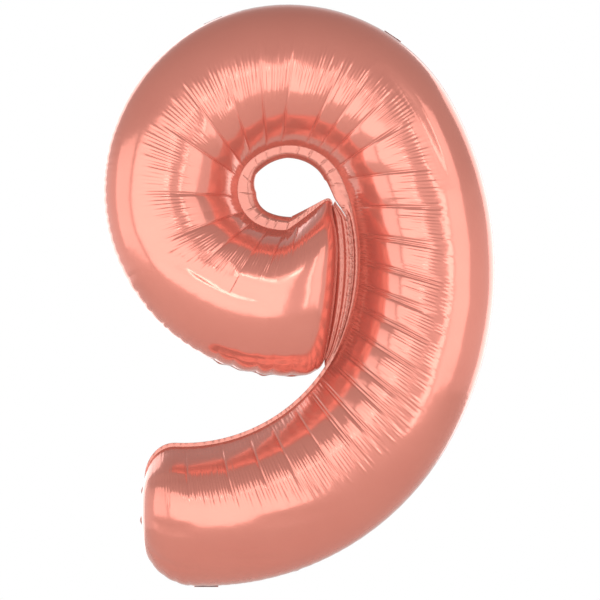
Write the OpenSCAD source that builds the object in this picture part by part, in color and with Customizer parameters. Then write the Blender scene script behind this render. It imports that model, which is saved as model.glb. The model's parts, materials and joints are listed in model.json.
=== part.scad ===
// Foil number balloon, figure 9, inflated.
// The figure stands upright along Z with its front towards -Y. The origin is below the middle of
// the figure, at its lowest point.
// Two foil panels are heat sealed to each other all round. Every edge of the figure is a rail of
// tangent arcs that turn left from the foot's end, and ribs join the outer rail to the
// inner one. Each panel is the half tube that those ribs carry.

/* [Figure] */
// Radius of the outer edge along the foot
foot_outer_r = 409; // [400:1:415]
// Radius of the outer edge along the stem
stem_outer_r = 514; // [508:1:520]
// Radius of the outer edge round the bowl
bowl_outer_r = 272; // [269:1:275]
// Depth of the inflated tube, front to back
tube_depth = 180; // [120:5:200]
// Corner radius of the foot's end
foot_corner_r = 60; // [40:1:75]
// Corner radius of the bowl's end, at the slit
bowl_corner_r = 24; // [18:1:28]
// Length over which each end swells to full depth
end_swell = 95; // [60:5:120]

/* [Foil and seal] */
// Thickness of a foil panel, drawn thicker than the real film
foil_wall = 0.5; // [0.3:0.1:0.8]
// Clearance between two plies that lie together
ply_gap = 0.2; // [0.1:0.05:0.3]
// Width of the heat-sealed margin along the outside
seal_margin = 5; // [3:1:8]
// Angle by which the outside margin leans towards the back
margin_lean = 65; // [50:1:75]

/* [Hanging ears] */
// Width of each ear
ear_w = 29; // [24:1:29]
// Length of each ear from its fold
ear_l = 32; // [32:1:36]
// Radius of the eyelet hole
eyelet_r = 3; // [2:0.5:4]

/* [Filling neck] */
// Width of the neck's foil plies
neck_w = 36; // [32:1:44]
// Length of the neck from its fold
neck_l = 60; // [40:1:60]
// Width of the valve films
film_w = 30; // [24:1:31]
// Thickness of a valve film, drawn thicker than the real film
film_t = 0.3; // [0.2:0.05:0.4]
// Length of the valve films inside the balloon
valve_l = 90; // [60:5:110]

/* [Hidden] */

foil = [0.88, 0.58, 0.50];
foil_back = [0.82, 0.52, 0.45];
clear_film = [0.80, 0.84, 0.86, 0.6];

// The rails. A heading is the direction of travel in degrees, 0 along +X and 90 up.
outer_start = [-229, 17.5];
outer_radii = [foot_outer_r, stem_outer_r, bowl_outer_r];
outer_headings = [-13, 59, 119, 371];
inner_start = [-226.5, 217];
inner_radii = [252, 303, 81, 88, 60, 56, 90, 14, 680];
inner_headings = [-13, 63, 113, 158, 218, 278, 338, 360, 395, 402];
// Each rib joins a heading on the outer rail to a heading on the inner rail
rib_pairs = [[-13, -13], [119, 125], [207, 222], [270, 277], [336, 352], [350, 395], [371, 402]];
// Width of the sealed margin on the inner rail against the outer rail's heading: narrow on the
// foot, wider beside the slit and widest where it rings the counter
inner_margins = [[-13, 6], [54, 5], [60, 5], [66, 8], [76, 11], [97, 12], [102, 22], [110, 24.5],
                 [128, 22], [169, 19], [256, 29], [328, 23], [348, 21], [366, 4], [371, 3]];
// The slit runs beside the stem between these headings of the outer rail
slit_from = 55;
slit_to = 98;
slit_gap = 1.5;

// How far each end's middle stands proud of a straight edge
foot_bulge = 3;
bowl_bulge = 11;

// The mesh of a panel: stations along the figure and columns across it
stations = 84;
columns = 16;
end_bunch = 0.72;

half_depth = tube_depth / 2 - foil_wall - ply_gap / 2;
margin_out = seal_margin * cos(margin_lean);
margin_back = seal_margin * sin(margin_lean);

// Headings of the three fold lines on the outer rail
ear_left_at = 204;
ear_right_at = 146;
neck_at = 0;
// Clearance between a fold line and the ply that turns about it
fold_gap = 1.2;
ear_stack = 2 * foil_wall + ply_gap;
neck_stack = 2 * foil_wall + 2 * film_t + 3 * ply_gap;

// The figure's own middle and lowest point, which the whole part is moved by
bowl_mid_x = rail(outer_start, outer_radii, outer_headings, 270)[0] + bowl_outer_r;
right_x = rail(outer_start, outer_radii, outer_headings, 90)[0];
shift_x = (right_x + bowl_mid_x - bowl_outer_r) / 2;
shift_z = outer(neck_at)[1] - margin_out - neck_stack / 2;

function total(v, i = 0) = i < len(v) ? v[i] + total(v, i + 1) : [0, 0];
function unit(v) = v / norm(v);

// Point of a chain of tangent arcs at a heading
function rail(start, radii, headings, h) =
    start + total([for (i = [0 : len(radii) - 1])
        let (a = min(h, headings[i]), b = min(h, headings[i + 1]))
        radii[i] * [sin(b) - sin(a), cos(a) - cos(b)]]);

function outer(h) = rail(outer_start, outer_radii, outer_headings, h);

// Share of the figure's length at a station, with the stations bunched at both ends
function share(i) = i / stations - end_bunch * sin(360 * i / stations) / (2 * PI);
function outer_heading(s) = outer_headings[0] + (outer_headings[3] - outer_headings[0]) * s;
function inner_heading(s) = lookup(outer_heading(s), rib_pairs);

function inner(h) = rail(inner_start, inner_radii, inner_headings, h);
function outer_at(s) = outer(outer_heading(s));
function inner_at(s) = inner(inner_heading(s));
function rib_mid(s) = (outer_at(s) + inner_at(s)) / 2;
function rib_half(s) = (outer_at(s) - inner_at(s)) / 2;

// Margin edge of the bowl's end: it follows the stem's margin across the slit
function slit_edge(j) =
    let (at = slit_to + (slit_from - slit_to) * (j + 1) / (columns + 2),
         h = lookup(at, rib_pairs), away = lookup(at, inner_margins) + slit_gap)
    inner(h) - away * [sin(h), -cos(h)];

// Direction of travel at each end of the figure
foot_dir = [1, 0];
bowl_dir = [1, 0];

// A rounded corner's share of the half width, and the swell's share of the depth, at a distance
// from an end
function corner(d, r, half) = d < r ? (half - r + sqrt(r * r - (r - d) * (r - d))) / half : 1;
function swell(d) = d < end_swell ? sqrt(1 - pow(1 - d / end_swell, 2)) : 1;
function proud(d) = d < end_swell ? pow(1 - d / end_swell, 2) : 0;

// Everything a station needs: [middle, half rib, width share, depth share, end shift]
function rib(s) =
    let (mid = rib_mid(s), half = rib_half(s),
         foot = norm(mid - rib_mid(0)), bowl = norm(mid - rib_mid(1)),
         near_foot = s < 0.5)
    [mid, half,
     near_foot ? corner(foot, foot_corner_r, norm(half)) : corner(bowl, bowl_corner_r, norm(half)),
     near_foot ? swell(foot) : swell(bowl),
     near_foot ? -foot_bulge * proud(foot) * foot_dir : bowl_bulge * proud(bowl) * bowl_dir];

// A point of a panel. Row 0 to stations and column 0 to columns cover the half tube, and one more
// row or column on each side is the sealed margin. side is -1 for the front and 1 for the back.
function panel_point(i, j, side, inside) =
    let (s = share(max(0, min(stations, i))), r = rib(s),
         turn = 90 * (2 * max(0, min(columns, j)) / columns - 1),
         across = unit(r[1]),
         inset = inside && j >= 0 && j <= columns && i >= 0 && i <= stations ? foil_wall : 0,
         rim = r[0] + r[4] * pow(cos(turn), 2) + r[1] * r[2] * sin(turn) - across * inset * sin(turn),
         inner_w = lookup(outer_heading(s), inner_margins),
         out = j < 0 ? -inner_w * across : j > columns ? margin_out * across : [0, 0],
         along = i < 0 ? -margin_out * foot_dir : [0, 0],
         back = i < 0 || j > columns && i <= stations ? margin_back : 0,
         deep = i < 0 || i > stations || j < 0 || j > columns ? 0 : r[3] * cos(turn),
         lift = inside ? (half_depth - foil_wall) * deep : foil_wall + half_depth * deep,
         xz = i > stations ? slit_edge(j) : rim + out + along)
    [xz[0], side * (ply_gap / 2 + lift) + back, xz[1]];

rows = stations + 3;
cols = columns + 3;

// One panel: an outside skin, an inside skin and the strip that closes them round the edge
module panel(side) {
    skin = [for (inside = [false, true]) for (i = [-1 : stations + 1]) for (j = [-1 : columns + 1])
        panel_point(i, j, side, inside)];
    function at(inside, i, j) = (inside * rows + i) * cols + j;
    function quad(a, b, c, d) = side < 0 ? [[a, b, c], [a, c, d]] : [[c, b, a], [d, c, a]];
    outside_faces = [for (i = [0 : rows - 2]) for (j = [0 : cols - 2])
        each quad(at(0, i, j), at(0, i, j + 1), at(0, i + 1, j + 1), at(0, i + 1, j))];
    inside_faces = [for (i = [0 : rows - 2]) for (j = [0 : cols - 2])
        each quad(at(1, i + 1, j), at(1, i + 1, j + 1), at(1, i, j + 1), at(1, i, j))];
    end_faces = [for (j = [0 : cols - 2]) each concat(
        quad(at(1, 0, j), at(1, 0, j + 1), at(0, 0, j + 1), at(0, 0, j)),
        quad(at(0, rows - 1, j), at(0, rows - 1, j + 1),
             at(1, rows - 1, j + 1), at(1, rows - 1, j)))];
    edge_faces = [for (i = [0 : rows - 2]) each concat(
        quad(at(1, i + 1, 0), at(1, i, 0), at(0, i, 0), at(0, i + 1, 0)),
        quad(at(1, i, cols - 1), at(1, i + 1, cols - 1),
             at(0, i + 1, cols - 1), at(0, i, cols - 1)))];
    polyhedron(skin, concat(outside_faces, inside_faces, end_faces, edge_faces), convexity = 8);
}

// Moves a shape from the figure's drawing to the part's own frame
module placed() {
    translate([-shift_x, 0, -shift_z]) children();
}

// Puts a shape on the fold line at a heading of the outer rail: X along the fold, Y towards the
// back and Z outwards
module on_fold(h) {
    p = outer(h) + margin_out * [sin(h), -cos(h)];
    placed() translate([p[0], margin_back, p[1]]) rotate([0, 180 - h, 0]) children();
}

// A flat ply that runs back from its fold line, from a height above it
module ply(from, thick) {
    translate([0, 0, from]) linear_extrude(thick) children();
}

module ear_outline() {
    difference() {
        union() {
            translate([-ear_w / 2, fold_gap]) square([ear_w, ear_l - ear_w / 2 - fold_gap]);
            translate([0, ear_l - ear_w / 2]) circle(ear_w / 2, $fn = 96);
        }
        translate([0, ear_l - ear_w / 2]) circle(eyelet_r, $fn = 64);
    }
}

module neck_outline(w, l) {
    translate([-w / 2, fold_gap]) square([w, l - fold_gap]);
}

// The front ply of a folded tab lies on the outside of the stack
module ear_front_ply(h) {
    on_fold(h) ply(ply_gap / 2, foil_wall) ear_outline();
}

module ear_back_ply(h) {
    on_fold(h) ply(-ply_gap / 2 - foil_wall, foil_wall) ear_outline();
}

module front_foil_panel() {
    color(foil) placed() panel(-1);
}

module back_foil_panel() {
    color(foil_back) placed() panel(1);
}

// A valve film hangs inside the balloon, above the seam at the neck
module valve_film(side) {
    seam = outer(neck_at);
    near = ply_gap / 2;
    color(clear_film)
        placed()
            translate([seam[0] - film_w / 2, side < 0 ? -near - film_t : near, seam[1] + fold_gap])
                cube([film_w, film_t, valve_l]);
}

module valve_front_film() {
    valve_film(-1);
}

module valve_back_film() {
    valve_film(1);
}

module neck_front_ply() {
    color(foil) on_fold(neck_at)
        ply(1.5 * ply_gap + film_t, foil_wall) neck_outline(neck_w, neck_l);
}

module neck_back_ply() {
    color(foil_back) on_fold(neck_at)
        ply(-1.5 * ply_gap - film_t - foil_wall, foil_wall) neck_outline(neck_w, neck_l);
}

module neck_front_film() {
    color(clear_film) on_fold(neck_at) ply(ply_gap / 2, film_t) neck_outline(film_w, neck_l);
}

module neck_back_film() {
    color(clear_film) on_fold(neck_at)
        ply(-ply_gap / 2 - film_t, film_t) neck_outline(film_w, neck_l);
}

module ear_left_front_ply() {
    color(foil) ear_front_ply(ear_left_at);
}

module ear_left_back_ply() {
    color(foil_back) ear_back_ply(ear_left_at);
}

module ear_right_front_ply() {
    color(foil) ear_front_ply(ear_right_at);
}

module ear_right_back_ply() {
    color(foil_back) ear_back_ply(ear_right_at);
}

front_foil_panel();
back_foil_panel();
valve_front_film();
valve_back_film();
neck_front_ply();
neck_back_ply();
neck_front_film();
neck_back_film();
ear_left_front_ply();
ear_left_back_ply();
ear_right_front_ply();
ear_right_back_ply();
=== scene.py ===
# %% [markdown]
# # A foil number balloon
# The balloon is two sheets of metallised plastic film, cut to the outline of a figure 9 and heat
# sealed to each other all round. Gas blows the sheets apart into a fat tube. Film can't stretch,
# so wherever the outline curves, the short side of the curve has too much film, and the film
# gathers there in sharp creases. Those creases are what make it look like foil.
#
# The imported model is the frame. It gives the size, the seam's place and the bodies that move.

# %% Load the frame
import json
import math

import bmesh
import bpy
import numpy as np
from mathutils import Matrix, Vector


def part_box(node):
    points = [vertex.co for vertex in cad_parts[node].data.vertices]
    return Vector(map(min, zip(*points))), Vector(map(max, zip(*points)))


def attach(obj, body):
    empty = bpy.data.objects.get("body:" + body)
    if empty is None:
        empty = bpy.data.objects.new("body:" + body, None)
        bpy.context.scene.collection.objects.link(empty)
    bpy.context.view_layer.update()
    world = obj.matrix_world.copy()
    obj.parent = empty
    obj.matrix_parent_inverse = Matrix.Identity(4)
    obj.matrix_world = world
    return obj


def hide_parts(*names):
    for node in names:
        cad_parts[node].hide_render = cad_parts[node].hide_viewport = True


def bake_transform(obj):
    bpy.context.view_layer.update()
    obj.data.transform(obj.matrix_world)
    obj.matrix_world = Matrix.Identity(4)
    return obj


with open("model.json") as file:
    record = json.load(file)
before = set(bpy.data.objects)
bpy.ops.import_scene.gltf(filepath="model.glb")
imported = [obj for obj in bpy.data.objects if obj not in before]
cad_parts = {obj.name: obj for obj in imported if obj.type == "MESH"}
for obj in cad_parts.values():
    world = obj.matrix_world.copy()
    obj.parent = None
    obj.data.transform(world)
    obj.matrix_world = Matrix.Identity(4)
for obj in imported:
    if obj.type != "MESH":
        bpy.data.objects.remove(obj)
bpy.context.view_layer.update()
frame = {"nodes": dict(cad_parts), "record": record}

MM = 0.001

# %% [markdown]
# ## The two rails
# A maker draws the figure with two lines: the outside seam and the inside seam. Each is a chain
# of arcs that run smoothly into each other, so a short list of radii gives the whole outline.
# A heading is the direction of travel in degrees, from the foot's end round to the bowl's end.
# These are the same rails, in millimetres, that the frame's panels were drawn on.

# %% Rails
OUTER_START, INNER_START = (-229, 17.5), (-226.5, 217)
OUTER_RADII = (409, 514, 272)
OUTER_HEADINGS = (-13, 59, 119, 371)
INNER_RADII = (252, 303, 81, 88, 60, 56, 90, 14, 680)
INNER_HEADINGS = (-13, 63, 113, 158, 218, 278, 338, 360, 395, 402)
# Each rib joins a heading on the outer rail to a heading on the inner rail
RIB_PAIRS = ((-13, -13), (119, 125), (207, 222), (270, 277), (336, 352), (350, 395), (371, 402))
# Width of the sealed margin on the inner rail, against the outer rail's heading
INNER_MARGINS = ((-13, 6), (54, 5), (60, 5), (66, 8), (76, 11), (97, 12), (102, 22), (110, 24.5),
                 (128, 22), (169, 19), (256, 29), (328, 23), (348, 21), (366, 4), (371, 3))
MARGIN_OUT, MARGIN_BACK = 2.11, 4.53  # the outside margin leans back
MARGIN_SHOWN = 0.4  # how much of it stands out, seen from the front
SLIT_FROM, SLIT_TO = 53, 103.5  # headings on the outer rail, beside the slit's two ends
SLIT_OVERLAP = 1.1  # mm, the bowl's free edge lies over the stem's
FOOT_CORNER, BOWL_CORNER, END_SWELL = 60, 24, 95  # radii, and how far an end takes to fill
FOOT_BULGE, BOWL_BULGE = 3, 11
FOOT_POWER, BOWL_POWER = 2.7, 4  # higher is a blunter end
# How far the tube's crest stands off its middle line, outwards, in mm
CREST = ((-13, -8), (20, -6), (50, 4), (100, 6), (180, 8), (240, 14), (285, 12), (320, -4),
         (371, -18))


def rail(start, radii, headings, at):
    """Points of a chain of tangent arcs at some headings."""
    at = np.asarray(at, float)
    point = np.zeros(at.shape + (2,)) + start
    for r, first, last in zip(radii, headings, headings[1:]):
        a, b = np.radians(np.minimum(at, first)), np.radians(np.minimum(at, last))
        point += r * np.stack([np.sin(b) - np.sin(a), np.cos(a) - np.cos(b)], -1)
    return point


def listed(at, pairs):
    """A value from a list of pairs, in a straight line between them."""
    return np.interp(at, *zip(*pairs))


def outer(at):
    return rail(OUTER_START, OUTER_RADII, OUTER_HEADINGS, at)


def inner(at):
    return rail(INNER_START, INNER_RADII, INNER_HEADINGS, at)


def lengths(points):
    """Distance along a line of points."""
    steps = np.linalg.norm(np.diff(points, axis=0), axis=1)
    return np.concatenate([[0], np.cumsum(steps)])


panel_low, panel_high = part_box("front_foil_panel")
PLACE = np.array([panel_high.x / MM - outer(90)[0] - MARGIN_OUT,
                  panel_high.z / MM - outer(180)[1] - MARGIN_OUT])
HALF_DEPTH = -panel_low.y / MM - 0.6
print("drawing moves by", PLACE.round(2), "mm; half depth", round(HALF_DEPTH, 1), "mm")

# %% [markdown]
# ## Stations along the figure
# A boat builder would call these ribs: places along the tube where its width and depth are
# known. They stand a millimetre apart, because a crease in film is only a few millimetres wide,
# and closer still at the two ends, where the tube swells from nothing to its full depth.

# %% Stations
STATIONS, COLUMNS = 1640, 60
END_ZONE, END_STATIONS = 16, 40

sampled = np.linspace(OUTER_HEADINGS[0], OUTER_HEADINGS[-1], 8001)
middle_line = (outer(sampled) + inner(listed(sampled, RIB_PAIRS))) / 2
tube_length = lengths(middle_line)[-1]
near_end = END_ZONE * (np.arange(END_STATIONS) / END_STATIONS) ** 2
along = np.concatenate([near_end,
                        np.linspace(END_ZONE, tube_length - END_ZONE,
                                    STATIONS - 2 * END_STATIONS),
                        tube_length - near_end[::-1]])
heading = np.interp(along, lengths(middle_line), sampled)
inner_heading = listed(heading, RIB_PAIRS)
from_foot, from_bowl = along, tube_length - along
print(f"tube {tube_length:.0f} mm long at its middle, {STATIONS} stations")

# %% [markdown]
# ## Where the film gathers
# Long creases run out from the inside seam like spokes, in pairs along the stem. Between two of
# them the film bulges like a small pillow. Finer comb wrinkles fill the middle of the tube.
# The outside seam gathers in scallops where the film was pulled tight, most of all at the left
# and under the bowl. All are lists of marks along the tube with even but slightly random gaps.

# %% Creases and wrinkles
CREASE_HEADINGS = [-9, 1, 12, 22, 31, 40, 47, 53, 59, 65, 71, 77, 83, 89, 96, 104, 113, 126, 140,
                   153, 166, 187, 203, 220, 236, 252, 279, 303, 325, 345, 368, 397]
PAIRED = (44, 100)  # the stem's creases come in pairs between these inner headings
PAIR_GAP = 0.9
# How far the gathers reach and how high the pillows stand, which is less near the ends
HELD = ((-13, 0.6), (10, 0.68), (40, 0.95), (60, 1), (285, 1), (305, 0.85), (330, 0.6), (371, 0.5))
PILLOWS = ((-13, 0.45), (40, 0.6), (60, 1))
CREASE_WIDTH, COMB_PITCH, BEAD_PITCH = 1.7, 4.8, 7
SCALLOPS = ((-13, 1.4), (-4, 1.0), (4, 0.4), (60, 0.1), (200, 0.1), (245, 0.3), (262, 0.8),
            (330, 0.9), (345, 2.4), (371, 2.2))
SCALLOP_PITCH = ((-13, 14), (60, 18), (250, 16), (325, 16), (340, 27), (371, 30))


def between(at, marks):
    """Share of the way from one mark to the next, and which mark that is."""
    k = np.clip(np.searchsorted(marks, at, side="right") - 1, 0, len(marks) - 2)
    return np.clip((at - marks[k]) / (marks[k + 1] - marks[k]), 0, 1), k


def uneven(chance, first, last, pitch, spread):
    """Marks from first to last whose gaps are a pitch, more or less."""
    marks = [first - chance.uniform(0, 1) * pitch(first)]
    while marks[-1] < last:
        marks.append(marks[-1] + pitch(marks[-1]) * chance.uniform(1 - spread, 1 + spread))
    return np.array(marks)


def smooth(low, high, at):
    t = np.clip((at - low) / (high - low), 0, 1)
    return t * t * (3 - 2 * t)


def arch(share, power):
    """1 in the middle of a cell and 0 at both its marks."""
    return 1 - np.abs(2 * share - 1) ** power


def gathers(seed):
    """How far the film stands up or in at each station, in mm, for the front or the back."""
    chance = np.random.default_rng(seed)
    at = [h + chance.uniform(-0.8, 0.8) for h in CREASE_HEADINGS]
    at += [h + PAIR_GAP for h in at if PAIRED[0] < h < PAIRED[1]]
    marks = np.interp(np.sort(at), inner_heading, along)
    marks = np.concatenate([[-60], marks, [tube_length + 60]])
    share, k = between(along, marks)
    cell = np.diff(marks)[k]
    away = np.minimum(share, 1 - share) * cell
    held = listed(heading, HELD)
    reach = held * np.interp(along, marks, chance.uniform(0.54, 0.72, len(marks)))
    depth = np.interp(along, marks, chance.uniform(0.7, 1.3, len(marks)))
    pillow = np.minimum(0.04 * cell, 2.6) * arch(share, 2.2) * listed(heading, PILLOWS)
    crease = depth * np.exp(-(away / CREASE_WIDTH) ** 2)

    comb_marks = uneven(chance, 0, tube_length, lambda a: COMB_PITCH, 0.3)
    tooth, k = between(along, comb_marks)
    comb = arch(tooth, 1.6) * chance.uniform(0.35, 0.8, len(comb_marks))[k]
    near = held * chance.uniform(0.34, 0.46, len(comb_marks))[k]
    far = held * chance.uniform(0.52, 0.62, len(comb_marks))[k]

    # Beads along the inside seam: the gathers of the weld, closest along the slit
    def bead_pitch(a):
        return BEAD_PITCH + 6 * smooth(100, 130, np.interp(a, along, heading))

    in_marks = uneven(chance, 0, tube_length, bead_pitch, 0.4)
    tooth, k = between(along, in_marks)
    beads = 0.3 + 0.6 * smooth(40, 55, heading) * (1 - smooth(95, 110, heading))
    pucker_in = arch(tooth, 1.6) * beads * chance.uniform(0.3, 1.2, len(in_marks))[k]
    return dict(pillow=pillow, crease=crease, reach=reach, comb=comb, near=near, far=far,
                pucker_in=pucker_in, marks=marks)


chance = np.random.default_rng(9)
outer_line = lengths(outer(heading))
scallop_marks = uneven(chance, 0, outer_line[-1],
                       lambda a: listed(np.interp(a, outer_line, heading), SCALLOP_PITCH), 0.5)
tooth, k = between(outer_line, scallop_marks)
scallop_size = chance.uniform(0.5, 1.2, len(scallop_marks))[k] * listed(heading, SCALLOPS)
scallop = scallop_size * (arch(tooth, 2) - 0.6)
front_gathers, back_gathers = gathers(3), gathers(5)
print(len(scallop_marks), "scallops,", len(front_gathers["marks"]), "creases")

# %% [markdown]
# ## Ribs
# A rib runs from the inside seam to the outside seam. It gets narrower in the rounded corners of
# each end, and the middle of each end stands a little proud. The tube's crest isn't halfway along
# its ribs everywhere: it keeps to the outer end of the gathers, which hold the inner side flat.

# %% Ribs
rib_outer, rib_inner = outer(heading), inner(inner_heading)
across = rib_outer - rib_inner
rib_width = np.linalg.norm(across, axis=1)
across /= rib_width[:, None]
rib_middle, rib_half = (rib_outer + rib_inner) / 2, (rib_outer - rib_inner) / 2


def corner(away, r):
    """Share of the half width that is left in an end's rounded corner."""
    half = rib_width / 2
    cut = np.clip(r - away, 0, r)
    return (half - r + np.sqrt(r * r - cut * cut)) / half


chord_foot = np.linalg.norm(rib_middle - rib_middle[0], axis=1)
chord_bowl = np.linalg.norm(rib_middle - rib_middle[-1], axis=1)
at_foot = along < tube_length / 2
rib_half = rib_half * np.where(at_foot, corner(chord_foot, FOOT_CORNER),
                               corner(chord_bowl, BOWL_CORNER))[:, None]
ease = np.clip(1 - np.where(at_foot, chord_foot, chord_bowl) / END_SWELL, 0, 1)
blunt = np.where(at_foot, FOOT_POWER, BOWL_POWER)
swell = (1 - ease**blunt) ** (1 / blunt)
shift = np.stack([np.where(at_foot, -FOOT_BULGE, BOWL_BULGE) * ease**2, 0 * ease], -1)
crest = listed(heading, CREST)[:, None] * across
print(f"tube {rib_width.min():.0f} to {rib_width.max():.0f} mm wide")

# %% [markdown]
# ## The section of the tube
# Cut across, the outer half of the tube is full and round. The inner half is flatter, because
# the creases hold it in. One curve does both: a superellipse whose power eases from one side to
# the other. Each column of the mesh also needs the direction in which its film stands up.

# %% Section
FULL, FLAT, TENT = 2.25, 1.8, 1.06
even = np.linspace(0, 1, COLUMNS)
turn = np.pi * (even - 0.32 * np.sin(2 * np.pi * even) / (2 * np.pi) - 0.5)
power_across = FLAT + (FULL - FLAT) * smooth(-1.4, 0.3, turn)
power_up = TENT + (FULL - TENT) * smooth(-1.5, 0.4, turn)
section_across = np.sign(turn) * np.abs(np.sin(turn)) ** (2 / power_across)
section_up = np.maximum(np.cos(turn), 0) ** (2 / power_up)
section_share = (section_across + 1) / 2
steep = np.stack([np.gradient(section_up) * HALF_DEPTH,
                  -np.gradient(section_across) * rib_width.mean() / 2], -1)
steep = -steep / np.linalg.norm(steep, axis=1)[:, None]
print("section runs from", section_across[0].round(3), "to", section_across[-1].round(3))


def helper(name, points, values):
    """An object that only carries lists of numbers for Geometry Nodes to read."""
    mesh = bpy.data.meshes.new(name)
    mesh.from_pydata(points, [], [])
    for key, column in values.items():
        column = np.asarray(column, np.float32)
        flat = column.ndim == 1
        attribute = mesh.attributes.new(key, "FLOAT" if flat else "FLOAT_VECTOR", "POINT")
        attribute.data.foreach_set("value" if flat else "vector", column.ravel())
    obj = bpy.data.objects.new(name, mesh)
    bpy.context.scene.collection.objects.link(obj)
    return obj


def upright(flat, y=0.0):
    """Drawing millimetres to metres in the frame."""
    flat = np.asarray(flat, float)
    return np.stack([flat[..., 0] * MM, np.zeros(flat.shape[:-1]) + y, flat[..., 1] * MM], -1)


def ribs(name, found, slack):
    """The stations of one panel, with all that its film does there."""
    calm = smooth(4, 60, np.minimum(from_foot, from_bowl))
    nothing = np.zeros(STATIONS)
    return helper(name, upright(rib_middle + PLACE), {
        "half": upright(rib_half),
        "across": upright(across) / MM,
        "shift": upright(shift + crest),
        "swell": swell,
        "scallop": scallop * MM,
        "waves": MM * np.stack([found["pillow"] * (0.35 + 0.65 * calm),
                                found["pucker_in"], slack], -1),
        "crease": np.stack([found["crease"] * calm * MM, found["reach"], nothing], -1),
        "comb": np.stack([found["comb"] * calm * MM, found["near"], found["far"]], -1),
    })


slack = 0.5 * scallop_size * arch(tooth, 1.7)
front_ribs = ribs("front_ribs", front_gathers, slack)
back_ribs = ribs("back_ribs", back_gathers, slack)
section = helper("section", np.zeros((COLUMNS, 3)), {
    "section": np.stack([section_across, section_up, section_share], -1),
    "lean": np.stack([steep[:, 0], steep[:, 1], 0 * even], -1),
})

# %% [markdown]
# ## Soft folds
# Some folds don't follow the seam: a film that was packed flat keeps a soft line where it was
# folded. Each one here is a short list of places on the tube, as (heading on the outside rail,
# share of the way across), with how deep and how wide the fold is in millimetres.

# %% Folds
FRONT_FOLDS = (
    (4.6, 8, ((295, 0.66), (306, 0.54), (324, 0.51), (341, 0.52), (354, 0.58))),
    (3.6, 9, ((307, 0.43), (317, 0.415), (328, 0.45))),
    (4.0, 8, ((145, 0.71), (125, 0.67), (112, 0.66), (103, 0.68))),
    (1.8, 7, ((1, 0.78), (11, 0.83), (20, 0.90))),
    (1.2, 6, ((14, 0.60), (26, 0.66), (36, 0.72))),
    (2.2, 3, ((333, 0.925), (345, 0.92), (358, 0.92), (366, 0.93))),
    (2.0, 4, ((-12, 0.23), (-6, 0.24), (2, 0.22))),
    (2.0, 4, ((-12, 0.58), (-5, 0.60), (1, 0.62))),
    (2.0, 4, ((-12, 0.85), (-6, 0.87), (0, 0.86))),
    (1.5, 3, ((52, 0.055), (66, 0.06), (80, 0.05), (92, 0.04))),
    (1.4, 3, ((48, 0.13), (62, 0.12), (78, 0.11))),
    (1.6, 4, ((371, 0.25), (362, 0.27), (352, 0.30))),
    (1.6, 4, ((371, 0.50), (363, 0.52), (355, 0.50))),
    (1.6, 4, ((371, 0.76), (364, 0.75), (357, 0.72))),
)
BACK_FOLDS = (
    (2.8, 8, ((150, 0.60), (175, 0.66), (200, 0.60))),
    (3.0, 7, ((262, 0.62), (285, 0.55), (310, 0.58), (335, 0.52))),
    (2.0, 7, ((20, 0.62), (40, 0.70), (58, 0.66))),
    (2.0, 4, ((-12, 0.30), (-5, 0.33), (2, 0.36))),
    (2.0, 4, ((-12, 0.70), (-6, 0.72), (1, 0.70))),
    (2.2, 3, ((333, 0.925), (345, 0.92), (358, 0.92), (366, 0.93))),
    (1.5, 3, ((52, 0.055), (66, 0.06), (80, 0.05), (92, 0.04))),
)
FOLD_STEP = 2.0


def on_tube(at, share, side):
    """A point of the plain tube, before its creases, in drawing millimetres."""
    across_at = np.interp(share, section_share, section_across)
    up = np.interp(share, section_share, section_up)
    point = np.stack([np.interp(at, heading, rib_middle[:, i]) for i in (0, 1)], -1)
    half = np.stack([np.interp(at, heading, rib_half[:, i]) for i in (0, 1)], -1)
    flat = point + PLACE + half * across_at[:, None]
    off = np.stack([np.interp(at, heading, (shift + crest)[:, i]) for i in (0, 1)], -1)
    flat = flat + off * (up**2)[:, None]
    deep = HALF_DEPTH * np.interp(at, heading, swell) * up
    return upright(flat, side * deep * MM)


def folds(name, listing, side):
    """Points along each fold, which carry its depth and width."""
    points, deep, wide = [], [], []
    for depth, width, places in listing:
        at, share = np.array(places, float).T
        knots = np.arange(len(at))
        fine = np.linspace(0, len(at) - 1, 400)
        soft = [np.interp(fine, knots, v) for v in (at, share)]
        for _ in range(3):
            soft = [np.convolve(np.pad(v, 30, "reflect", reflect_type="odd"),
                                np.ones(61) / 61, "valid") for v in soft]
        line = on_tube(*soft, side)
        run = lengths(line) / MM
        count = max(4, int(run[-1] / FOLD_STEP))
        steps = np.linspace(0, run[-1], count)
        points += list(np.stack([np.interp(steps, run, line[:, i]) for i in range(3)], -1))
        deep += list(depth * MM * arch(np.linspace(0, 1, count), 2.5))
        wide += [width * MM] * count
    return helper(name, points, {"deep": deep, "wide": wide})


front_folds = folds("front_folds", FRONT_FOLDS, -1)
back_folds = folds("back_folds", BACK_FOLDS, 1)
print(len(front_folds.data.vertices), "points on the front's folds")

# %% [markdown]
# ## Finishes
# The film is nylon or polyester with a coat of aluminium thinner than a hair's hundredth part,
# tinted pink-gold. It mirrors what is round it, a little blurred. A faint bump stands for the
# tremble that thin film always has. Colours are picked as hex values, as a paint chart gives
# them, and turned to the linear light that a render works in.

# %% A node adder and a colour
def linear(colour):
    """sRGB hex to linear RGBA."""
    parts = [int(colour[i:i + 2], 16) / 255 for i in (1, 3, 5)]
    return [c / 12.92 if c <= 0.04045 else ((c + 0.055) / 1.055) ** 2.4 for c in parts] + [1.0]


def add(tree, kind, links=(), **settings):
    """Adds a node, with its settings and with what its sockets hold or are fed by."""
    made = tree.nodes.new(kind)
    for name, value in settings.items():
        setattr(made, name, value)
    for name, value in dict(links).items():
        if isinstance(value, bpy.types.Node):
            value = value.outputs[0]
        if isinstance(value, bpy.types.NodeSocket):
            tree.links.new(value, made.inputs[name])
        else:
            made.inputs[name].default_value = value
    return made


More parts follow.
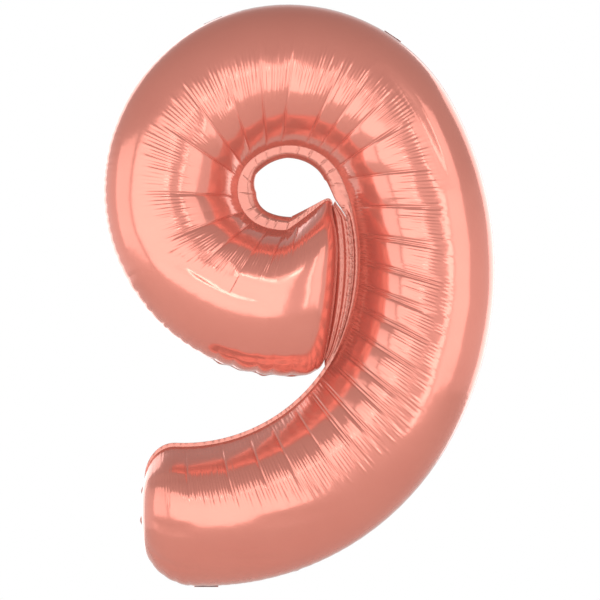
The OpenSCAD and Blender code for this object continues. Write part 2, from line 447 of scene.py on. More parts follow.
ROSE, ROSE_DEEP = "#E69180", "#E08878"
# The sealed colours are darker partly because the hot bars dull the coat and partly as painted
# shade, which dims the ring round the counter and its reflection in the tube.
SEALED_SHADED, SEALED_SHADED_DEEP = "#CC8576", "#C27B6D"  # the hot bars dull the coat a little; the colour is also darker as painted shade
FILM_ROUGHNESS, SEALED_ROUGHNESS = 0.15, 0.24
METAL, COAT, COAT_ROUGHNESS = 0.6, 0.25, 0.08  # part mirror, under a thin clear skin of plastic
WELD_PITCH, WELD_STRENGTH = 1.4, 0.3  # mm, coarser than the real seal's bars so that it shows


def film(name, light, deep, roughness, weld):
    """Metallised film in two near colours; weld is how strongly the sealing bars mark it."""
    material = bpy.data.materials.new(name)
    material.use_nodes = True
    tree = material.node_tree
    tree.nodes.clear()
    where = add(tree, "ShaderNodeTexCoord").outputs["Object"]
    cloud = add(tree, "ShaderNodeTexNoise",
                {"Vector": where, "Scale": 1 / (90 * MM), "Detail": 3.0})
    tint = add(tree, "ShaderNodeMix",
               {0: cloud, 6: linear(light), 7: linear(deep)}, data_type="RGBA")
    haze = add(tree, "ShaderNodeMapRange",
               {0: cloud, 3: roughness * 0.85, 4: roughness * 1.2})
    tremble = add(tree, "ShaderNodeTexNoise",
                  {"Vector": where, "Scale": 1 / (14 * MM), "Detail": 2.0, "Roughness": 0.45})
    bump = add(tree, "ShaderNodeBump", {"Height": tremble, "Distance": 0.35 * MM,
                                        "Strength": 0.5})
    if weld:
        bars = [add(tree, "ShaderNodeTexWave",
                    {"Vector": where, "Scale": 1 / (WELD_PITCH * MM) / 20, "Distortion": 0.0},
                    bands_direction=way) for way in ("X", "Z")]
        crossed = add(tree, "ShaderNodeMath", {0: bars[0].outputs["Fac"],
                                               1: bars[1].outputs["Fac"]}, operation="ADD")
        bump = add(tree, "ShaderNodeBump", {"Height": crossed, "Distance": 0.08 * MM,
                                            "Strength": weld, "Normal": bump})
    shader = add(tree, "ShaderNodeBsdfPrincipled",
                 {"Base Color": tint.outputs[2], "Metallic": METAL, "Roughness": haze,
                  "Coat Weight": COAT, "Coat Roughness": COAT_ROUGHNESS, "Normal": bump})
    add(tree, "ShaderNodeOutputMaterial", {"Surface": shader})
    return material


rose_film = film("rose gold metallised film", ROSE, ROSE_DEEP, FILM_ROUGHNESS, 0)
sealed_shaded_film = film("rose gold film, heat sealed and darkened as painted shade", SEALED_SHADED, SEALED_SHADED_DEEP, SEALED_ROUGHNESS,
                   WELD_STRENGTH)

clear_film = bpy.data.materials.new("clear polyethylene film")
clear_film.use_nodes = True
shader = clear_film.node_tree.nodes["Principled BSDF"]
where = add(clear_film.node_tree, "ShaderNodeTexCoord").outputs["Object"]
ripple = add(clear_film.node_tree, "ShaderNodeTexNoise",
             {"Vector": where, "Scale": 1 / (8 * MM), "Detail": 2.0})
bump = add(clear_film.node_tree, "ShaderNodeBump",
           {"Height": ripple, "Distance": 0.4 * MM, "Strength": 0.6})
for socket, value in (("Base Color", linear("#DDE3E4")), ("Roughness", 0.12), ("IOR", 1.5),
                      ("Alpha", 0.45)):
    shader.inputs[socket].default_value = value
clear_film.node_tree.links.new(bump.outputs[0], shader.inputs["Normal"])
print([m.name for m in (rose_film, sealed_shaded_film, clear_film)])

# %% [markdown]
# ## The bulge, as a Geometry Nodes tree
# A panel follows a rule: a section carried along ribs, with the gathers on top. Geometry Nodes
# suit that well, since one tree makes the front and the back from different lists. A flat grid
# has a row for each station and a column for each point of the section. Its point number gives
# both, the two helper objects are read at those numbers, and the point is moved to its place.

# %% The tree's inputs
tree = bpy.data.node_groups.new("foil_bulge", "GeometryNodeTree")
tree.interface.new_socket("Geometry", in_out="OUTPUT", socket_type="NodeSocketGeometry")
for name, kind in (("Geometry", "Geometry"), ("Ribs", "Object"), ("Section", "Object"),
                   ("Folds", "Object"), ("Side", "Float"), ("Seam gap", "Float"),
                   ("Half depth", "Float"), ("Slow waves", "Float"), ("Film", "Material")):
    tree.interface.new_socket(name, in_out="INPUT", socket_type="NodeSocket" + kind)
given = add(tree, "NodeGroupInput").outputs
lists = {name: add(tree, "GeometryNodeObjectInfo", {"Object": given[name]}).outputs["Geometry"]
         for name in ("Ribs", "Section", "Folds")}
counts = {name: add(tree, "GeometryNodeAttributeDomainSize",
                    {"Geometry": lists[name]}).outputs["Point Count"]
          for name in ("Ribs", "Section")}
grid = add(tree, "GeometryNodeMeshGrid",
           {"Vertices X": counts["Ribs"], "Vertices Y": counts["Section"]})
number = add(tree, "GeometryNodeInputIndex")
rows = add(tree, "ShaderNodeMath", {0: number, 1: counts["Section"]}, operation="DIVIDE")
station = add(tree, "ShaderNodeMath", {0: rows}, operation="FLOOR")
column = add(tree, "ShaderNodeMath", {0: number, 1: counts["Section"]}, operation="MODULO")

# %% Read the lists
VECTOR = "FLOAT_VECTOR"
position = add(tree, "GeometryNodeInputPosition")
middle = add(tree, "GeometryNodeSampleIndex",
             {"Geometry": lists["Ribs"], "Value": position, "Index": station}, data_type=VECTOR)
read = {}
for name, kind, source, index in (
        ("half", VECTOR, "Ribs", station), ("across", VECTOR, "Ribs", station),
        ("shift", VECTOR, "Ribs", station), ("swell", "FLOAT", "Ribs", station),
        ("scallop", "FLOAT", "Ribs", station),
        ("waves", VECTOR, "Ribs", station), ("crease", VECTOR, "Ribs", station),
        ("comb", VECTOR, "Ribs", station), ("section", VECTOR, "Section", column),
        ("lean", VECTOR, "Section", column)):
    named = add(tree, "GeometryNodeInputNamedAttribute", {"Name": name}, data_type=kind)
    read[name] = add(tree, "GeometryNodeSampleIndex",
                     {"Geometry": lists[source], "Value": named, "Index": index},
                     data_type=kind)
parts = {name: add(tree, "ShaderNodeSeparateXYZ", {0: read[name]}).outputs
         for name in ("section", "lean", "crease", "comb")}
place_across, place_up, share = parts["section"]

# %% Carry the section along the ribs
reached = add(tree, "ShaderNodeVectorMath", {0: read["half"], "Scale": place_across},
              operation="SCALE")
up_twice = add(tree, "ShaderNodeMath", {0: place_up, 1: 2.0}, operation="POWER")
proud = add(tree, "ShaderNodeVectorMath", {0: read["shift"], "Scale": up_twice},
            operation="SCALE")
flat = add(tree, "ShaderNodeVectorMath", {0: middle, 1: reached}, operation="ADD")
flat = add(tree, "ShaderNodeVectorMath", {0: flat, 1: proud}, operation="ADD")
hem = add(tree, "ShaderNodeMapRange", {0: share, 1: 0.93, 2: 1.0},
          interpolation_type="SMOOTHSTEP")
hem = add(tree, "ShaderNodeMath", {0: hem, 1: read["scallop"]}, operation="MULTIPLY")
hem = add(tree, "ShaderNodeVectorMath", {0: read["across"], "Scale": hem}, operation="SCALE")
flat = add(tree, "ShaderNodeVectorMath", {0: flat, 1: hem}, operation="ADD")
deep = add(tree, "ShaderNodeMath", {0: read["swell"], 1: place_up}, operation="MULTIPLY")
deep = add(tree, "ShaderNodeMath", {0: deep, 1: given["Half depth"], 2: given["Seam gap"]},
           operation="MULTIPLY_ADD")
deep = add(tree, "ShaderNodeMath", {0: deep, 1: given["Side"]}, operation="MULTIPLY")
deep = add(tree, "ShaderNodeCombineXYZ", {"Y": deep})
plain = add(tree, "ShaderNodeVectorMath", {0: flat, 1: deep}, operation="ADD")

# %% Stand the gathers up
# How much of the pillows, of the inside puckers and of the outside scallops shows at a column
SMOOTH = {"interpolation_type": "SMOOTHSTEP"}
pillow_end = add(tree, "ShaderNodeMath", {0: parts["crease"][1], 1: 0.35}, operation="MULTIPLY")
pillow_out = add(tree, "ShaderNodeMapRange",
                 {0: share, 1: pillow_end, 2: parts["crease"][1], 3: 1.0, 4: 0.0}, **SMOOTH)
pillow_in = add(tree, "ShaderNodeMapRange", {0: share, 1: 0.0, 2: 0.09}, **SMOOTH)
pillow = add(tree, "ShaderNodeMath", {0: pillow_in, 1: pillow_out}, operation="MULTIPLY")
pucker_rise = add(tree, "ShaderNodeMapRange", {0: share, 1: 0.0, 2: 0.02}, **SMOOTH)
pucker_fade = add(tree, "ShaderNodeMapRange", {0: share, 1: 0.03, 2: 0.13, 3: 1.0, 4: 0.0},
                  **SMOOTH)
pucker = add(tree, "ShaderNodeMath", {0: pucker_rise, 1: pucker_fade}, operation="MULTIPLY")
edge_rise = add(tree, "ShaderNodeMapRange", {0: share, 1: 0.82, 2: 0.985}, **SMOOTH)
edge_fade = add(tree, "ShaderNodeMapRange", {0: share, 1: 0.985, 2: 1.0, 3: 1.0, 4: 0.3})
edge = add(tree, "ShaderNodeMath", {0: edge_rise, 1: edge_fade}, operation="MULTIPLY")
shown = add(tree, "ShaderNodeCombineXYZ", {0: pillow, 1: pucker, 2: edge})
stand = add(tree, "ShaderNodeVectorMath", {0: read["waves"], 1: shown},
            operation="DOT_PRODUCT").outputs["Value"]

# The creases are sharp for a little further than the pillows reach
crease_start = add(tree, "ShaderNodeMath", {0: parts["crease"][1], 1: 0.7},
                   operation="MULTIPLY")
crease_out = add(tree, "ShaderNodeMapRange",
                 {0: share, 1: crease_start, 2: parts["crease"][1], 3: 1.0, 4: 0.0}, **SMOOTH)
crease = add(tree, "ShaderNodeMath", {0: parts["crease"][0], 1: crease_out},
             operation="MULTIPLY")
crease = add(tree, "ShaderNodeMath", {0: crease, 1: pillow_in}, operation="MULTIPLY")
stand = add(tree, "ShaderNodeMath", {0: stand, 1: crease}, operation="SUBTRACT")

# The comb starts and stops at its own place for each wrinkle
before = add(tree, "ShaderNodeMath", {0: parts["comb"][1], 1: 0.12}, operation="SUBTRACT")
after = add(tree, "ShaderNodeMath", {0: parts["comb"][2], 1: 0.04}, operation="ADD")
comb_in = add(tree, "ShaderNodeMapRange",
              {0: share, 1: before, 2: parts["comb"][1], 3: 0.0, 4: 1.0}, **SMOOTH)
comb_out = add(tree, "ShaderNodeMapRange",
               {0: share, 1: parts["comb"][2], 2: after, 3: 1.0, 4: 0.0}, **SMOOTH)
comb = add(tree, "ShaderNodeMath", {0: comb_in, 1: comb_out}, operation="MULTIPLY")
comb = add(tree, "ShaderNodeMath", {0: comb, 1: pillow_in}, operation="MULTIPLY")
stand = add(tree, "ShaderNodeMath", {0: comb, 1: parts["comb"][0], 2: stand},
            operation="MULTIPLY_ADD")

# %% Slow waves and soft folds
slow = add(tree, "ShaderNodeTexNoise",
           {"Vector": plain, "Scale": 1 / (110 * MM), "Detail": 1.0, "Roughness": 0.4})
slow = add(tree, "ShaderNodeMath", {0: slow, 1: 0.5}, operation="SUBTRACT")
seam_calm = add(tree, "ShaderNodeMath", {0: place_up, 1: read["swell"]}, operation="MULTIPLY")
slow = add(tree, "ShaderNodeMath", {0: slow, 1: seam_calm}, operation="MULTIPLY")
stand = add(tree, "ShaderNodeMath", {0: slow, 1: given["Slow waves"], 2: stand},
            operation="MULTIPLY_ADD")
nearest = add(tree, "GeometryNodeSampleNearest",
              {"Geometry": lists["Folds"], "Sample Position": plain})
nearest_place = add(tree, "GeometryNodeSampleIndex",
                    {"Geometry": lists["Folds"], "Value": position, "Index": nearest},
                    data_type=VECTOR)
fold = {}
for name in ("deep", "wide"):
    named = add(tree, "GeometryNodeInputNamedAttribute", {"Name": name}, data_type="FLOAT")
    fold[name] = add(tree, "GeometryNodeSampleIndex",
                     {"Geometry": lists["Folds"], "Value": named, "Index": nearest},
                     data_type="FLOAT")
gap = add(tree, "ShaderNodeVectorMath", {0: plain, 1: nearest_place},
          operation="DISTANCE").outputs["Value"]
gap = add(tree, "ShaderNodeMath", {0: gap, 1: fold["wide"]}, operation="DIVIDE")
gap = add(tree, "ShaderNodeMath", {0: gap, 1: 1.6}, operation="POWER")
gap = add(tree, "ShaderNodeMath", {0: gap, 1: -1.0}, operation="MULTIPLY")
sunk = add(tree, "ShaderNodeMath", {0: gap}, operation="EXPONENT")
sunk = add(tree, "ShaderNodeMath", {0: sunk, 1: fold["deep"]}, operation="MULTIPLY")
stand = add(tree, "ShaderNodeMath", {0: stand, 1: sunk}, operation="SUBTRACT")

# %% Set the places and finish the tree
sideways = add(tree, "ShaderNodeMath", {0: stand, 1: parts["lean"][0]}, operation="MULTIPLY")
upwards = add(tree, "ShaderNodeMath", {0: stand, 1: parts["lean"][1]}, operation="MULTIPLY")
upwards = add(tree, "ShaderNodeMath", {0: upwards, 1: given["Side"]}, operation="MULTIPLY")
stood = add(tree, "ShaderNodeVectorMath", {0: read["across"], "Scale": sideways},
            operation="SCALE")
upwards = add(tree, "ShaderNodeCombineXYZ", {"Y": upwards})
placed = add(tree, "ShaderNodeVectorMath", {0: plain, 1: stood}, operation="ADD")
placed = add(tree, "ShaderNodeVectorMath", {0: placed, 1: upwards}, operation="ADD")
moved = add(tree, "GeometryNodeSetPosition", {"Geometry": grid, "Position": placed})
is_front = add(tree, "FunctionNodeCompare", {0: given["Side"], 1: 0.0},
               data_type="FLOAT", operation="LESS_THAN")
faced = add(tree, "GeometryNodeFlipFaces", {"Mesh": moved, "Selection": is_front})
mapped = add(tree, "GeometryNodeStoreNamedAttribute",
             {"Geometry": faced, "Name": "UVMap", "Value": grid.outputs["UV Map"]},
             data_type="FLOAT2", domain="CORNER")
rounded = add(tree, "GeometryNodeSetShadeSmooth", {"Geometry": mapped})
real = add(tree, "GeometryNodeRealizeInstances", {"Geometry": rounded})
coated = add(tree, "GeometryNodeSetMaterial", {"Geometry": real, "Material": given["Film"]})
add(tree, "NodeGroupOutput", {0: coated})
socket_of = {s.name: s.identifier for s in tree.interface.items_tree if s.in_out == "INPUT"}
print(len(tree.nodes), "nodes in the tree")

# %% [markdown]
# ## Blow up the two panels
# Each panel is made by the tree, and then turned into a plain mesh.

# %% Panels
SEAM_GAP = 0.45


def bulge(name, side, ribs_of, folds_of):
    obj = bpy.data.objects.new(name, bpy.data.meshes.new(name))
    bpy.context.scene.collection.objects.link(obj)
    nodes = obj.modifiers.new("bulge", "NODES")
    nodes.node_group = tree
    for key, value in (("Ribs", ribs_of), ("Section", section), ("Folds", folds_of),
                       ("Side", float(side)), ("Seam gap", SEAM_GAP * MM),
                       ("Half depth", HALF_DEPTH * MM), ("Slow waves", 5 * MM),
                       ("Film", rose_film)):
        nodes[socket_of[key]] = value
    deps = bpy.context.evaluated_depsgraph_get()
    made = bpy.data.meshes.new_from_object(obj.evaluated_get(deps))
    obj.modifiers.clear()
    obj.data = made
    made.name = name
    if made.materials[0] is None:  # the empty slot that the empty start mesh left behind
        made.materials.pop(index=0)
    print(name, len(made.vertices), "points")
    return obj


front_foil = bulge("front_foil", -1, front_ribs, front_folds)
back_foil = bulge("back_foil", 1, back_ribs, back_folds)
for obj in (front_ribs, back_ribs, section, front_folds, back_folds):
    bpy.data.objects.remove(obj)
for obj, node in ((front_foil, "front_foil_panel"), (back_foil, "back_foil_panel")):
    print(obj.name, len(obj.data.polygons) * 2, "triangles, materials",
          [m.name for m in obj.data.materials])
    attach(obj, "envelope")
    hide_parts(node)

# %% [markdown]
# ## The sealed margin
# Outside the seam the two films lie flat together as a narrow band. On the outside it leans back
# and follows every scallop. Round the counter it is a wide flat ring whose free edge rolls back
# into a lip. Along the slit it ripples, since nothing holds it. It is one closed strip: a line
# of places on the seam, a line of places on the free edge, and a few rows between them.

# %% Seam and free edge
END_POINTS = 260
# Places, as (outer heading, half length in degrees), where a bit of the margin peeps out
PEEPS = ((-4, 0.6), (19, 0.5), (203, 1.0), (224, 1.6), (338, 1.5), (344, 1.2), (352, 2.0),
         (361, 1.6), (-11, 0.5))


def rim(i, t):
    """Points of the end rib i at shares t of its half width."""
    flat = rib_middle[i] + rib_half[i] * t[:, None]
    return flat + shift[i] * (1 - t**2)[:, None]


def slit_edge(t):
    """The bowl's free edge follows the stem's margin, and just covers its edge."""
    j = (np.degrees(np.arcsin(t)) / 90 + 1) / 2
    at = SLIT_TO + (SLIT_FROM - SLIT_TO) * j
    h = listed(at, RIB_PAIRS)
    away = listed(at, INNER_MARGINS) - SLIT_OVERLAP
    turned = np.radians(h)
    return inner(h) - away[:, None] * np.stack([np.sin(turned), -np.cos(turned)], -1)


end_turn = np.sin(np.linspace(-np.pi / 2, np.pi / 2, END_POINTS))
outside_seam = rib_middle + rib_half + across * scallop[:, None]
inside_seam = rib_middle - rib_half
inner_width = listed(heading, INNER_MARGINS)
bowl_end, foot_end = rim(-1, end_turn[::-1]), rim(0, end_turn)
peep = MARGIN_SHOWN + 2.6 * sum(np.exp(-((heading - at) / wide) ** 2) for at, wide in PEEPS)
foot_peep = MARGIN_SHOWN + 3.0 * np.maximum(0, np.sin(lengths(foot_end)[1:-1] / 7)) ** 2
seam = np.concatenate([outside_seam, bowl_end[1:-1], inside_seam[::-1], foot_end[1:-1]])
edge = np.concatenate([
    outside_seam + across * peep[:, None],
    slit_edge(end_turn[::-1])[1:-1],
    (inside_seam - across * inner_width[:, None])[::-1],
    foot_end[1:-1] - np.stack([foot_peep, 0 * foot_peep], -1),
])
STRETCHES = np.cumsum([0, STATIONS, END_POINTS - 2, STATIONS, END_POINTS - 2])
stretch = np.repeat(np.arange(4), np.diff(STRETCHES))  # outside, slit, inside, foot's end
on_outside, on_slit, on_inside, on_foot = (stretch == n for n in range(4))
loop_run = lengths(seam)
print(f"seam {loop_run[-1] + np.linalg.norm(seam[0] - seam[-1]):.0f} mm round")

# %% Shape the strip
RIPPLE_PITCH, NOTCH_PITCH, SPOKE_PITCH = 11, 6, 22
chance = np.random.default_rng(21)
around = np.concatenate([heading, np.full(END_POINTS - 2, 371), heading[::-1],
                         np.full(END_POINTS - 2, -13)])
ring = on_inside * smooth(96, 112, around) * (1 - smooth(345, 360, around))
loose = np.maximum(on_slit * 1.0, on_inside * (smooth(57, 66, around)
                                               * (1 - smooth(96, 104, around))))
loose = np.maximum(loose, on_inside * smooth(348, 362, around))
slit = np.convolve(np.pad(on_slit * 1.0, 10, "wrap"), np.ones(21) / 21, "valid")
stem_side = on_inside * smooth(57, 66, around) * (1 - smooth(96, 104, around))
marks = uneven(chance, 0, loop_run[-1] + 40, lambda a: RIPPLE_PITCH, 0.45)
tooth, k = between(loop_run, marks)
ripple = (arch(tooth, 1.5) - 0.5) * chance.uniform(0.5, 1.2, len(marks))[k]
fine_marks = uneven(chance, 0, loop_run[-1] + 40, lambda a: NOTCH_PITCH, 0.4)
tooth, k = between(loop_run, fine_marks)
notch = (arch(tooth, 1.4) - 0.5) * chance.uniform(0.2, 1.0, len(fine_marks))[k]
spoke_marks = uneven(chance, 0, loop_run[-1] + 40, lambda a: SPOKE_PITCH, 0.5)
tooth, k = between(loop_run, spoke_marks)
spoke = -np.exp(-(np.minimum(tooth, 1 - tooth) * np.diff(spoke_marks)[k] / 1.6) ** 2)
window = np.ones(9) / 9
edge = np.stack([np.convolve(np.pad(edge[:, i], 4, "wrap"), window, "valid") for i in (0, 1)], -1)

ACROSS = np.array([-0.06, 0.06, 0.14, 0.22, 0.3, 0.39, 0.48, 0.57, 0.66, 0.75, 0.84, 0.92, 1.0])
STRIP_HALF = 0.3
LIP_FROM, LIP_ROLL = 0.56, 7.5  # the ring's outer part rolls back this far
BOWL_FOLDS, STEM_FOLDS = 2.2, 1.5  # half waves across the margin on each side of the slit
lean = np.where(on_outside | on_foot, MARGIN_BACK, 0.0)
lean = np.convolve(np.pad(lean, 12, "wrap"), np.ones(25) / 25, "valid")
rows = []
for q in ACROSS:
    held = max(q, 0)
    y = lean * held**1.2
    y = y + ring * (LIP_ROLL * max(0, (q - LIP_FROM) / (1 - LIP_FROM)) ** 1.6
                    + 0.5 * spoke * held * (1 - held) * 4)
    y = y + loose * (1.2 * ripple + 0.7 * notch) * held
    # The two margins stand up in long folds, the bowl's in front of the stem's
    bowl_fold, stem_fold = (abs(math.sin(n * math.pi * held)) for n in (BOWL_FOLDS, STEM_FOLDS))
    y = y - slit * (1.6 * held + (2.6 + 0.8 * ripple) * bowl_fold)
    y = y + stem_side * (1.6 * held - (1.6 + 0.8 * ripple) * stem_fold)
    y = y + (1 - ring) * (1 - loose) * 0.9 * ripple * held
    flat = seam + (edge - seam) * q * (1 + held * 0.07 * (slit + stem_side) * notch)[:, None]
    rows.append((flat, y))
front_side = [upright(flat + PLACE, (y - STRIP_HALF) * MM) for flat, y in rows]
back_side = [upright(flat + PLACE, (y + STRIP_HALF) * MM) for flat, y in rows[::-1]]
strip = np.stack(front_side + back_side, 1)
print("strip", strip.shape)


def closed_sheet(name, points, material, wrap_rows=True):
    """A mesh from rows of points, closed round each row, and from last row to first if asked."""
    count, wide = points.shape[:2]
    n = np.arange(count if wrap_rows else count - 1)[:, None]
    m = np.arange(wide)[None, :]
    after, beside = (n + 1) % count, (m + 1) % wide
    quads = np.stack([n * wide + m, after * wide + m, after * wide + beside,
                      n * wide + beside], -1).reshape(-1, 4)
    mesh = bpy.data.meshes.new(name)
    mesh.from_pydata(points.reshape(-1, 3), [], quads.tolist())
    mesh.materials.append(material)
    obj = bpy.data.objects.new(name, mesh)
    bpy.context.scene.collection.objects.link(obj)
    return obj


def outwards(obj):
    """Makes every face of a closed mesh point outwards, and shades it smooth."""
    shape = bmesh.new()
    shape.from_mesh(obj.data)
    bmesh.ops.remove_doubles(shape, verts=shape.verts, dist=MM / 1000)
    bmesh.ops.recalc_face_normals(shape, faces=shape.faces)
    if shape.calc_volume(signed=True) < 0:
        bmesh.ops.reverse_faces(shape, faces=shape.faces)
    shape.to_mesh(obj.data)
    shape.free()
    obj.data.shade_smooth()
    return obj


sealed_margin = outwards(closed_sheet("sealed_margin", strip, sealed_shaded_film))
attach(sealed_margin, "envelope")
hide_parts("front_foil_panel", "back_foil_panel")
print("sealed margin:", len(sealed_margin.data.polygons) * 2, "triangles")

# %% [markdown]
# ## Hanging ears and filling neck
# Two ears fold back from the top edge, each with an eyelet hole for a hanging ribbon, and the
# filling neck folds back below the foot. All three are cut from the same two films as the
# panels, so they start at the seam's margin and bend there. Each ply is a thin closed sheet. An
# ear's sheet is a set of rings, from the eyelet's round hole out to the ear's own outline, so
# that the hole stays truly round.

# %% Where the folds are
EAR_WIDTH, NECK_WIDTH, NECK_LENGTH = 29, 36, 60
FILM_WIDTH, FILM_LENGTH = 30, 63  # the valve's films reach a little past the neck's mouth
EAR_OFF, NECK_OFF, FILM_OFF = 0.35, 0.85, 0.25  # each ply's distance from the fold's plane
PLY_HALF, FILM_HALF = 0.2, 0.1
JOINTS = {joint["name"]: joint for joint in frame["record"]["behaviour"]["joints"]}
MOUNTS = {mount["name"]: mount for mount in frame["record"]["mounts"]}
BACKWARDS = np.array([0, 1.0, 0])


def on_fold(joint, places, off):
    """Places (along the fold, towards the back) in mm, at a distance outwards, in the frame."""
    along_fold = np.array(JOINTS[joint]["axis"], float)
    outward = np.cross(along_fold, BACKWARDS)
    return (np.array(JOINTS[joint]["pos_m"]) + MM * places[..., :1] * along_fold
            + MM * places[..., 1:] * BACKWARDS + MM * np.asarray(off)[..., None] * outward)


def finish_ply(obj, node):
    """Turns a ply's faces outwards, bakes its place into its points, and lets it stand for its
    solid.
    """
    outwards(obj)
    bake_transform(obj)
    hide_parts(node)
    print(obj.name, len(obj.data.polygons), "faces")


# %% Ears
EAR_RINGS = np.array([0, 0.06, 0.14, 0.24, 0.4, 0.58, 0.74, 0.84, 0.9, 0.95, 1.0])
EAR_ANGLES = np.linspace(0, 2 * np.pi, 120, endpoint=False)
for which in ("left", "right"):
    joint, mount = f"hang_ear_{which}_fold", MOUNTS[f"hang_eyelet_{which}"]
    eye_away = (mount["pos_m"][1] - JOINTS[joint]["pos_m"][1]) / MM
    eye_r = mount["dims"]["r_mm"]
    ways = np.stack([np.cos(EAR_ANGLES), np.sin(EAR_ANGLES)], -1)
    sides = EAR_WIDTH / 2 / np.maximum(np.abs(ways[:, 0]), 1e-9)
    foot = (eye_away - 0.2) / np.maximum(-ways[:, 1], 1e-9)
    edge_r = np.where(ways[:, 1] < 0, np.minimum(sides, foot), EAR_WIDTH / 2)
    r = eye_r + (edge_r - eye_r)[:, None] * EAR_RINGS
    places = r[..., None] * ways[:, None] + [0, eye_away]
    # A welded ring round the eyelet and a welded hem lie lower than the film between them
    puff = 0.35 * smooth(0.06, 0.3, EAR_RINGS) * (1 - smooth(0.78, 0.95, EAR_RINGS))
    wave = 0.5 * np.sin(places[..., 0] / 4.1 + 1) * smooth(2, 14, places[..., 1])
    for ply, way in (("front", 1), ("back", -1)):
        outer_face = on_fold(joint, places, way * (EAR_OFF + PLY_HALF + puff) + wave)
        inner_face = on_fold(joint, places, way * (EAR_OFF - PLY_HALF + puff) + wave)
        ear = closed_sheet(f"ear_{which}_{ply}",
                           np.concatenate([outer_face, inner_face[:, ::-1]], 1), sealed_shaded_film)
        finish_ply(ear, f"ear_{which}_{ply}_ply")

# %% Neck
for name, node, width, length, off, half, material in (
        ("neck_front", "neck_front_ply", NECK_WIDTH, NECK_LENGTH, NECK_OFF, PLY_HALF, rose_film),
        ("neck_back", "neck_back_ply", NECK_WIDTH, NECK_LENGTH, -NECK_OFF, PLY_HALF, rose_film),
        ("neck_film_front", "neck_front_film", FILM_WIDTH, FILM_LENGTH, FILM_OFF, FILM_HALF,
         clear_film),
        ("neck_film_back", "neck_back_film", FILM_WIDTH, FILM_LENGTH, -FILM_OFF, FILM_HALF,
         clear_film)):
    # The first and last rows have no thickness, so that the sheet closes there
    down = length * np.concatenate([[0, 0.004], np.linspace(0.02, 0.98, 46), [0.996, 1.0]])
    thick = half * np.concatenate([[0], np.ones(48), [0]])
    u = np.linspace(-1, 1, 33)
    rounded = 1 - 0.14 * smooth(0.88, 1.0, down / length) ** 2
    places = np.stack([u * width / 2 * rounded[:, None], 0 * u + down[:, None]], -1)
    gape = np.sign(off) * 1.6 * (1 - u**4) * smooth(0.25, 1.0, down / length)[:, None]
    crumple = 0.35 * np.sin(u * 9 + down[:, None] / 7) * smooth(3, 20, down)[:, None]
    faces = [on_fold("fill_neck_fold", places, off + gape + crumple + way * thick[:, None])
             for way in (1, -1)]
    ply = closed_sheet(name, np.concatenate([faces[0], faces[1][:, ::-1]], 1), material,
                       wrap_rows=False)
    finish_ply(ply, node)

# %% Valve films
for node in ("valve_front_film", "valve_back_film"):
    for held in frame["nodes"][node].material_slots:
        held.material = clear_film
    print(node, "is kept, in", clear_film.name)

# %% Camera
LENS_WIDTH = 0.882  # metres across the view at the seam
CAMERA_AWAY = 3.6
camera = bpy.data.objects.new("camera", bpy.data.cameras.new("camera"))
bpy.context.scene.collection.objects.link(camera)
bpy.context.scene.camera = camera
camera.location = (0.0016, -CAMERA_AWAY, 0.4225)
camera.rotation_euler = (math.pi / 2, 0, 0)
camera.data.lens = 36 * CAMERA_AWAY / LENS_WIDTH

# %% Floor, world and lights
FLOOR_AT, FLOOR_HALF = -0.25, 1.6
floor_mesh = bpy.data.meshes.new("floor")
floor_mesh.from_pydata([(x * FLOOR_HALF, y * FLOOR_HALF, FLOOR_AT)
                        for x, y in ((-1, -1), (1, -1), (1, 1), (-1, 1))], [], [(0, 1, 2, 3)])
floor = bpy.data.objects.new("floor", floor_mesh)
bpy.context.scene.collection.objects.link(floor)
pale = bpy.data.materials.new("matt white floor paint")
pale.use_nodes = True
pale.node_tree.nodes["Principled BSDF"].inputs["Base Color"].default_value = linear("#F1EFEC")
pale.node_tree.nodes["Principled BSDF"].inputs["Roughness"].default_value = 0.8
floor_mesh.materials.append(pale)

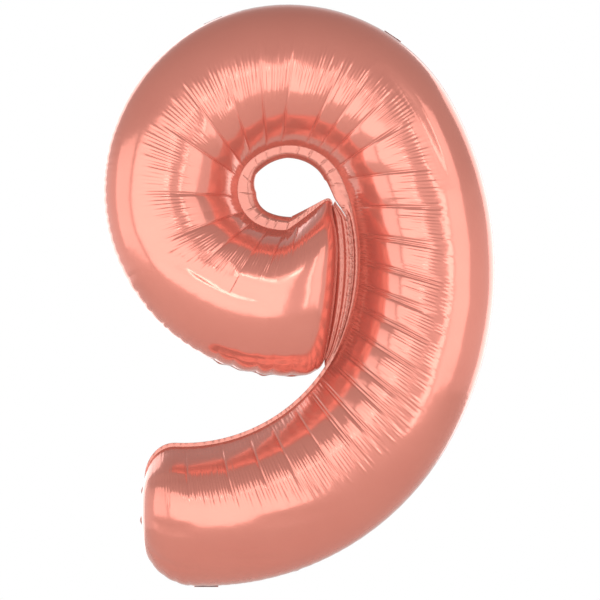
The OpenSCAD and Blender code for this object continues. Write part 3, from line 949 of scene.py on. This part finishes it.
# How bright the room is from straight down to straight up, and behind the balloon
ROOM = ((0.0, 0.74), (0.40, 0.96), (0.56, 0.88), (0.68, 0.52), (1.0, 0.38))
ROOM_BEHIND = 0.72
world = bpy.data.worlds.new("white studio")
bpy.context.scene.world = world
world.use_nodes = True
tree = world.node_tree
tree.nodes.clear()
look = add(tree, "ShaderNodeTexCoord").outputs["Generated"]
look = add(tree, "ShaderNodeSeparateXYZ", {0: look}).outputs
height, depth = look["Z"], look["Y"]
ramp = add(tree, "ShaderNodeValToRGB", {0: add(tree, "ShaderNodeMapRange",
                                              {0: height, 1: -1.0, 2: 1.0})})
stops = ramp.color_ramp.elements
stops[0].position, stops[1].position = 0.0, 1.0
for at, grey in ROOM:
    stop = stops[0] if at == 0 else stops[len(stops) - 1] if at == 1 else stops.new(at)
    stop.color = (grey, grey, grey, 1)
behind = add(tree, "ShaderNodeMapRange", {0: depth, 1: 0.6, 2: 0.92},
             interpolation_type="SMOOTHSTEP")
tone = add(tree, "ShaderNodeMix", {0: behind, 6: ramp, 7: (*[ROOM_BEHIND] * 3, 1)},
           data_type="RGBA").outputs[2]
studio = add(tree, "ShaderNodeBackground", {"Color": tone, "Strength": 1.0})
paper = add(tree, "ShaderNodeBackground", {"Color": (1, 1, 1, 1), "Strength": 1.0})
seen = add(tree, "ShaderNodeLightPath").outputs["Is Camera Ray"]
shown = add(tree, "ShaderNodeMixShader", {0: seen, 1: studio, 2: paper})
add(tree, "ShaderNodeOutputWorld", {"Surface": shown})


def softbox(name, azimuth, up, away, size, radiance):
    """A square-edged lamp that faces the balloon; azimuth 0 is in front, 90 on the right."""
    lamp = bpy.data.lights.new(name, "AREA")
    lamp.shape, lamp.size, lamp.size_y = "RECTANGLE", *size
    lamp.energy = radiance * math.pi * size[0] * size[1]
    obj = bpy.data.objects.new(name, lamp)
    a, e = math.radians(azimuth), math.radians(up)
    way = Vector((math.sin(a) * math.cos(e), -math.cos(a) * math.cos(e), math.sin(e)))
    obj.location = Vector((0, 0, 0.43)) + way * away
    obj.rotation_mode = "QUATERNION"
    obj.rotation_quaternion = way.to_track_quat("Z", "Y")
    obj.visible_camera = False
    bpy.context.scene.collection.objects.link(obj)
    return obj


softbox("softbox left", -20, -3, 2.0, (1.9, 1.7), 1.36)
softbox("fill left", -70, 1, 2.0, (1.35, 1.5), 0.95)
softbox("small key", 2, 14, 2.6, (0.34, 0.2), 4.0)
softbox("strip right", 27, 1, 2.2, (0.26, 1.6), 2.3)
softbox("fill right", 47, 6, 2.2, (1.1, 2.0), 1.1)
softbox("softbox back left", -152, 5, 2.2, (1.5, 2.4), 1.1)
softbox("softbox back right", 140, 5, 2.2, (1.5, 2.4), 1.1)
bpy.context.scene.view_settings.view_transform = "Standard"
